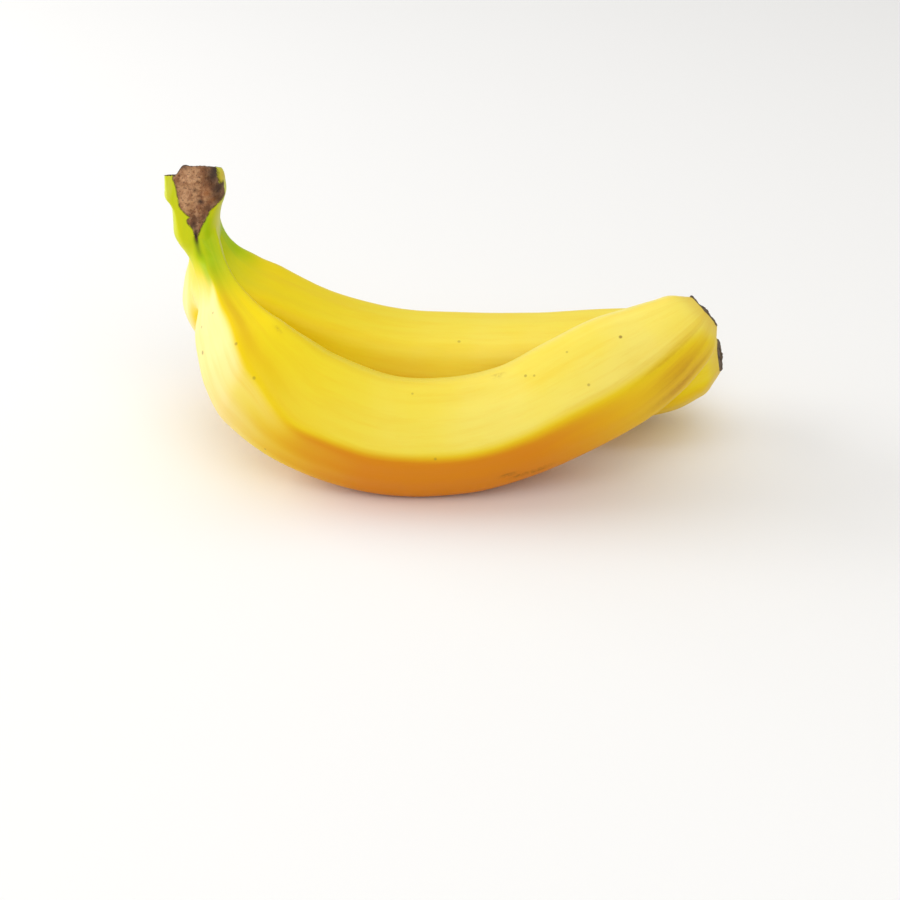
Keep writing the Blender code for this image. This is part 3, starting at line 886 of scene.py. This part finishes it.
# What the skin's colours follow: places in millimetres, which way the skin faces, and shares of the finger
skinMarks = {
    "crownMiddle": (-78.5, 48.0, 74.0), "neckReach": (17.0, 37.0), "outerSooner": 8.0,
    "outerFacing": (0.0, -0.7), "outerHeights": (62.0, 54.0), "greenFade": (0.45, 1.0),
    # reach and strength of each green streak, and its line down the neck
    "greens": [
        (1.3, 1, [(-77.2, 39.6, 65), (-76.4, 38.6, 61.6), (-75.4, 37, 59.6), (-74.6, 34.9, 58.4),
                    (-73.4, 32, 55.8), (-72.4, 29.4, 53.2), (-71, 26, 50.6)]),
        (2.7, 0.8, [(-74.7, 40.4, 71), (-74.3, 40.4, 66.7), (-73.7, 39.1, 63.9), (-73.1, 37.6, 61.3),
                    (-72.4, 35.4, 58.9), (-71.3, 32.9, 56.7), (-69.9, 29.1, 54.5), (-67.9, 23.7, 52.7)]),
        (3.6, 0.9, [(-71, 54, 62.5), (-70, 54.6, 59.7), (-69.1, 54.1, 57.9), (-66.2, 55, 55.1),
                    (-62, 55.5, 52), (-58, 55.5, 49.5)]),
    ],
    # the painted amber shade on the underside reaches up to the ridge, higher at mid-length, and fades at its
    # end and its left
    "under": (0.27, -0.3), "underStrength": 0.88, "underReach": (18.0, 60.0), "underMiddle": (0.5, 0.09, 0.2),
    "underEnd": (0.68, 0.94), "underEndFade": 0.75, "underLeft": (-0.15, -0.6), "underLeftFade": 0.85,
    # the pale tone grows towards the blossom end; where the skin faces up it is also painted top light
    "paleShares": (0.25, 0.75), "paleFacing": (0.05, 0.45), "paleBack": 0.8,
    # the cream is a painted highlight on the left-facing skin near the necks; the pale lug adds its own paler
    # tone to it
    "creamFacing": (-0.3, -0.75), "creamShares": (0.3, 0.42), "creamReach": (18, 34), "creamStrength": 0.8,
    # share of the front finger's length, angle from its first ridge in degrees, length, width, strength
    "scuffs": [(0.688, -68, 4, 1.2, 0.5), (0.661, 47, 4, 1.6, 0.8), (0.677, 56, 5, 1.6, 0.8),
               (0.70, 58, 6, 1.6, 0.75), (0.284, -62, 4, 1.4, 0.35), (0.915, 54, 22, 4, 0.2),
               (0.91, 8, 26, 2.2, 0.1), (0.93, 36, 14, 3, 0.14)],
    "bruises": [(0.925, 32, 24, 12, 0.8), (0.93, 5, 26, 2.6, 0.7), (0.92, 54, 22, 5.4, 1),
                (0.90, -8, 44, 14, 0.22)],
    # a painted shade strip along the face beside the first ridge
    "paintedShadeStrips": [(0.25, -13.0, 50.0, 8.0, 0.7)],
    # x and z in millimetres, reach each way, strength
    # the scar's darker right-hand and upper faces and its creases are painted shade
    "scarPaintedShade": [(-71.5, 84.4, 2.5, 3.1, 0.95), (-70.4, 80.4, 2.7, 3, 0.85), (-70.4, 77.2, 2.8, 2, 0.7),
                 (-72.4, 74.8, 1.9, 1.6, 0.65), (-74.4, 72, 1.3, 1.6, 0.6), (-71.8, 86.4, 2.6, 0.9, 0.9),
                 (-77.6, 66.8, 1, 2.4, 1), (-78.2, 69.8, 1.4, 1.8, 0.75), (-77.4, 71.6, 2.2, 1.2, 0.5),
                 (-75.7, 76.9, 1.1, 0.7, 0.9), (-77.4, 80.4, 0.7, 0.7, 0.6), (-73.6, 75, 1.6, 1, 0.6),
                 (-80.6, 86.6, 1.6, 0.7, 0.6)],
    "scarRust": [(-73.8, 79.6, 1.3, 1.2, 0.6), (-72.4, 77.4, 1.2, 1.2, 0.35)],
    "scarTan": [(-81.2, 78.6, 2.2, 4, 1), (-77.8, 77.6, 2, 1.8, 0.8), (-78, 84, 3, 2.2, 0.7)],
    "scarEdge": (0.05, 0.45), "scarEdgeStrength": 0.5, "paleLug": [(-86.5, 80.0, 3.5, 5.0, 0.8)],
    "goldPatch": [(-69.0, 83.0, 1.6, 2.6, 0.9)], "goldPatchFacing": (0.0, 0.5),
}


def blots(points, places):
    # how strongly each point lies in soft oval blots seen from the front
    amount = np.zeros(len(points))
    for x, z, reachX, reachZ, strength in places:
        blot = strength * bell(points[:, 0] - x, reachX) * bell(points[:, 2] - z, reachZ)
        amount = np.maximum(amount, blot)
    return amount


def marked(mesh, marks):
    # how strongly each point lies in soft marks along the front finger
    share, place = getAttribute(mesh, "share"), getAttribute(mesh, "skinPlace", 3)
    angle = np.degrees(np.arctan2(place[:, 2], place[:, 1]))
    amount = np.zeros(len(share))
    for at, turn, length, width, strength in marks:
        away = (share - at) * frontFinger["length"]
        around = np.radians((angle - turn + 180.0) % 360.0 - 180.0) * fingerSkin["patternRadius"]
        amount = np.maximum(amount, strength * bell(away, length / 2) * bell(around, width / 2))
    return np.where(getAttribute(mesh, "growth") == 0, amount, 0.0)


def markSkin(mesh):
    marks, points, facing = skinMarks, meshPoints(mesh) / mm, meshNormals(mesh)
    share, growth, scarIn = (getAttribute(mesh, name) for name in ("share", "growth", "scarIn"))
    distance = np.linalg.norm(points - marks["crownMiddle"], axis=1)
    sooner = smoothStep(*marks["outerFacing"], facing[:, 0])
    sooner *= marks["outerSooner"] * smoothStep(*marks["outerHeights"], points[:, 2])
    green = np.zeros(len(points))
    for reach, strength, path in marks["greens"]:
        aside, along = alongPath(points, path)
        streak = strength * bell(aside, reach) * (1 - smoothStep(*marks["greenFade"], along))
        green = np.maximum(green, streak)
    # painted amber shade on the downward-facing skin
    middle, width, drop = marks["underMiddle"]
    under = smoothStep(*marks["under"], facing[:, 2] - drop * bell(share - middle, width))
    under *= marks["underStrength"] * smoothStep(*marks["underReach"], distance)
    under *= 1 - marks["underEndFade"] * smoothStep(*marks["underEnd"], share)
    under *= 1 - marks["underLeftFade"] * smoothStep(*marks["underLeft"], facing[:, 0])
    # paler towards the blossom end, and painted top light on upward faces
    paleAndPaintedTopLight = smoothStep(*marks["paleShares"], share) * np.where(growth == 0, 1.0, marks["paleBack"])
    # painted highlight on left-facing skin near the crown
    paintedHighlightAndPaleLug = smoothStep(*marks["creamFacing"], facing[:, 0]) * (1 - smoothStep(*marks["creamShares"], share))
    paintedHighlightAndPaleLug *= marks["creamStrength"] * smoothStep(*marks["creamReach"], distance)
    patch = blots(points, marks["goldPatch"]) * smoothStep(*marks["goldPatchFacing"], facing[:, 0])
    edge = marks["scarEdgeStrength"] * (1 - smoothStep(*marks["scarEdge"], scarIn))
    setAttributes(mesh, {
        "neck": 1 - smoothStep(*marks["neckReach"], distance + sooner),
        "green": green, "underside": under, "paleAndPaintedTopLight": paleAndPaintedTopLight * smoothStep(*marks["paleFacing"], facing[:, 2]),
        "paintedHighlightAndPaleLug": np.maximum(paintedHighlightAndPaleLug, blots(points, marks["paleLug"])),
        "goldAndPaintedShade": marked(mesh, marks["paintedShadeStrips"]), "scuff": marked(mesh, marks["scuffs"]),
        "bruise": np.maximum(marked(mesh, marks["bruises"]), patch),
        "scarCrustAndPaintedShade": np.maximum(edge, blots(points, marks["scarPaintedShade"])),
        "scarRust": blots(points, marks["scarRust"]), "scarTan": blots(points, marks["scarTan"]),
    })


def sortMaterials(mesh, tissues):
    # the torn scar and the knife cut have materials of their own
    for tissue in tissues:
        mesh.materials.append(tissue)
    scarIn, cutIn = getAttribute(mesh, "scarIn"), getAttribute(mesh, "cutIn")
    for face in mesh.polygons:
        corners = list(face.vertices)
        torn = np.mean(scarIn[corners]) > 0.0
        face.material_index = 2 if np.min(cutIn[corners]) > knifeCut["finishFrom"] else int(torn)


# Assembly

skinMesh = fuseSkin(bananaPeel())
print("skin fused:", len(skinMesh.polygons), "faces")
carveCrown(skinMesh)
markSkin(skinMesh)
sortMaterials(skinMesh, (tornCork(), driedTissue("driedKnifeCut")))
print("crown carved")
withered = driedTissue("witheredBlossomScar")
pieces = [skinMesh] + [witheredEnd(finger, withered) for finger in (frontFinger, backFinger)]
for mesh in pieces:
    setPoints(mesh, np.clip(meshPoints(mesh) + standPlace, *np.array(cadBox)))
    piece = linkNew(mesh.name, mesh)
    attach(piece, "root")
    if mesh == skinMesh:
        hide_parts("banana_pair")
print("blossom ends set")


# Floor, light and camera

studio = {
    "floorSize": 6.0, "floorColour": "#F8F7F5", "fibreSize": 10 / 9, "worldColour": "#FFFFFF",
    "worldStrength": 0.47, "lightsAim": (0.0, 0.0, 0.03),
    # name: place in metres, size in metres, strength in watts
    "lights": {
        "window": ((-0.85, 0.25, 0.34), 0.8, 6.2),
        "overhead": ((0.1, 0.3, 1.1), 1.2, 3.0),
        "front": ((0.15, -0.75, 0.85), 1.0, 4.6),
    },
}
view = {
    "pitch": 30.0, "place": (0.0, -511.8, 309.6), "focalPixels": 1962.0, "imagePixels": 900.0, "sensor": 36.0,
    "clip": (0.01, 20.0),
}


def paperFloor():
    bpy.ops.mesh.primitive_plane_add(size=studio["floorSize"])
    floor = bpy.context.object
    floor.name = "floor"
    material, node, fill, place = newMaterial("paleMattPaper")
    perFibre = 1 / (studio["fibreSize"] * mm)
    fibres = node("ShaderNodeTexNoise", {"Vector": place, "Scale": perFibre, "Detail": 3.0})
    fill({
        "Base Color": hexColour(studio["floorColour"]), "Roughness": 0.9,
        "Normal": node("ShaderNodeBump", {"Strength": 0.05, "Distance": 0.1 * mm, "Height": fibres}),
    })
    floor.data.materials.append(material)


def softLights():
    world = bpy.data.worlds.new("paleRoom")
    bpy.context.scene.world = world
    world.use_nodes = True
    sky = world.node_tree.nodes["Background"]
    sky.inputs["Color"].default_value = hexColour(studio["worldColour"])
    sky.inputs["Strength"].default_value = studio["worldStrength"]
    for name, (place, size, power) in studio["lights"].items():
        data = bpy.data.lights.new(name, "AREA")
        data.size, data.energy = size, power
        light = linkNew(name, data)
        light.location = place
        aim = Vector(studio["lightsAim"]) - Vector(place)
        light.rotation_euler = aim.to_track_quat("-Z", "Y").to_euler()


def photoCamera():
    data = bpy.data.cameras.new("camera")
    data.sensor_width = view["sensor"]
    data.lens = view["focalPixels"] / view["imagePixels"] * view["sensor"]
    data.clip_start, data.clip_end = view["clip"]
    camera = linkNew("camera", data)
    camera.location = Vector(view["place"]) * mm + Vector(standPlace)
    camera.rotation_euler = (math.radians(90.0 - view["pitch"]), 0.0, 0.0)
    bpy.context.scene.camera = camera


paperFloor()
softLights()
photoCamera()
bpy.context.scene.view_settings.view_transform = "Standard"
print("floor, light and camera set")
